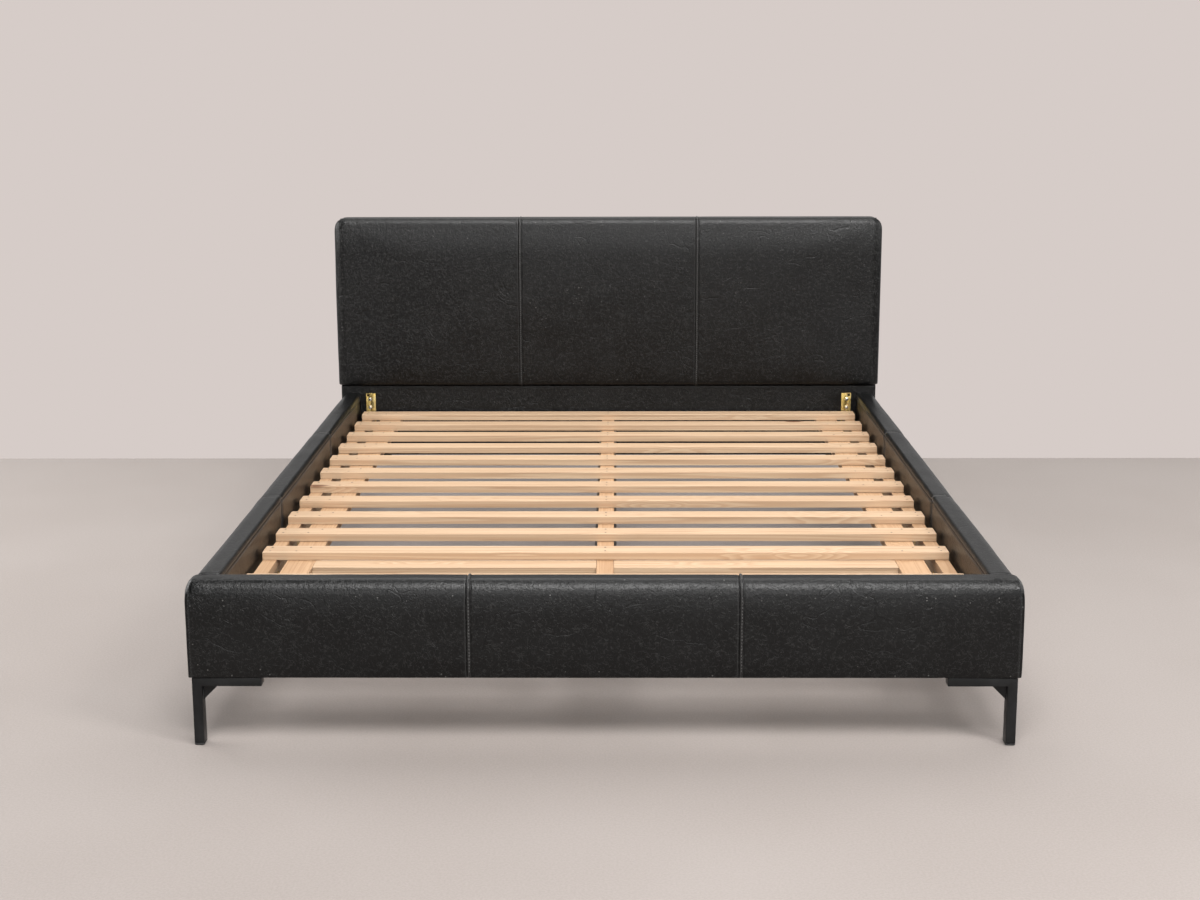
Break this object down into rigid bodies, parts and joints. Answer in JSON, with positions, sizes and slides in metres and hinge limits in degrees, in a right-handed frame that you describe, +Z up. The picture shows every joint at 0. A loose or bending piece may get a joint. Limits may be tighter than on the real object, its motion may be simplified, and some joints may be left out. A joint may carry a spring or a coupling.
{
  "type": "upholstered platform bed",
  "caption": "Low platform bed with a padded panelled headboard, padded rails, steel corner legs and a loose drop-in slat base whose foot end lifts.",
  "frame": {"origin": "on the floor, under the middle of the bed's outline", "axes": "+X across the bed, +Y from the foot towards the headboard, +Z up"},
  "size_m": [1.668, 2.22, 0.884],
  "materials": {
    "black_leather": "soft satin black leather with a fine creased grain",
    "black_fabric": "matt black non-woven dust cover",
    "plywood": "unfinished plywood",
    "frame_pine": "sawn pine",
    "slat_pine": "planed unfinished pale pine",
    "black_steel": "satin black powder coat",
    "yellow_zinc": "yellow passivated zinc plate",
    "bright_zinc": "bright zinc plate",
    "black_plastic": "matt black nylon"
  },
  "bodies": {
    "bed_frame": {"headboard_cushion": "black_leather", "headboard_lower_panel": "black_leather", "side_rail_cover_left": "black_leather", "side_rail_cover_right": "black_leather", "foot_rail_cover": "black_leather", "headboard_face_board": "plywood", "headboard_stile_left": "frame_pine", "headboard_stile_right": "frame_pine", "headboard_top_rail": "frame_pine", "headboard_middle_rail": "frame_pine", "headboard_bottom_rail": "frame_pine", "side_rail_board_left": "frame_pine", "side_rail_board_right": "frame_pine", "foot_rail_board": "frame_pine", "side_ledge_left": "frame_pine", "side_ledge_right": "frame_pine", "headboard_back_cover": "black_fabric", "front_leg_left": "black_steel", "front_leg_right": "black_steel", "rear_leg_left": "black_steel", "rear_leg_right": "black_steel", "front_glide_left": "black_plastic", "front_glide_right": "black_plastic", "rear_glide_left": "black_plastic", "rear_glide_right": "black_plastic", "head_bracket_left": "yellow_zinc", "foot_bracket_left": "yellow_zinc", "head_bracket_right": "yellow_zinc", "foot_bracket_right": "yellow_zinc", "head_bracket_bolt_left_upper": "bright_zinc", "head_bracket_bolt_left_lower": "bright_zinc", "head_bracket_bolt_right_upper": "bright_zinc", "head_bracket_bolt_right_lower": "bright_zinc", "centre_beam": "black_steel", "beam_hanger_head": "black_steel", "beam_hanger_foot": "black_steel", "centre_leg_1": "black_steel", "centre_leg_2": "black_steel"},
    "slat_base": {"slat_01": "slat_pine", "slat_02": "slat_pine", "slat_03": "slat_pine", "slat_04": "slat_pine", "slat_05": "slat_pine", "slat_06": "slat_pine", "slat_07": "slat_pine", "slat_08": "slat_pine", "slat_09": "slat_pine", "slat_10": "slat_pine", "slat_11": "slat_pine", "slat_12": "slat_pine", "slat_strip_left": "slat_pine", "slat_strip_right": "slat_pine", "slat_runner_left": "slat_pine", "slat_runner_right": "slat_pine", "cross_rail_left": "slat_pine", "cross_rail_right": "slat_pine", "slat_runner_centre": "slat_pine"},
    "levelling_foot_1": {"levelling_foot_1": "black_plastic"},
    "levelling_foot_2": {"levelling_foot_2": "black_plastic"}
  },
  "joints": [
    {"name": "slat_base_tilt", "type": "hinge", "parent": "bed_frame", "child": "slat_base", "pos_m": [0, 1.027, 0.2689], "axis": [-1, 0, 0], "range_deg": [0, 30]},
    {"name": "levelling_foot_1_turn", "type": "hinge", "parent": "bed_frame", "child": "levelling_foot_1", "pos_m": [0, -0.35, 0.02], "axis": [0, 0, 1], "continuous": true},
    {"name": "levelling_foot_2_turn", "type": "hinge", "parent": "bed_frame", "child": "levelling_foot_2", "pos_m": [0, 0.34, 0.02], "axis": [0, 0, 1], "continuous": true}
  ]
}
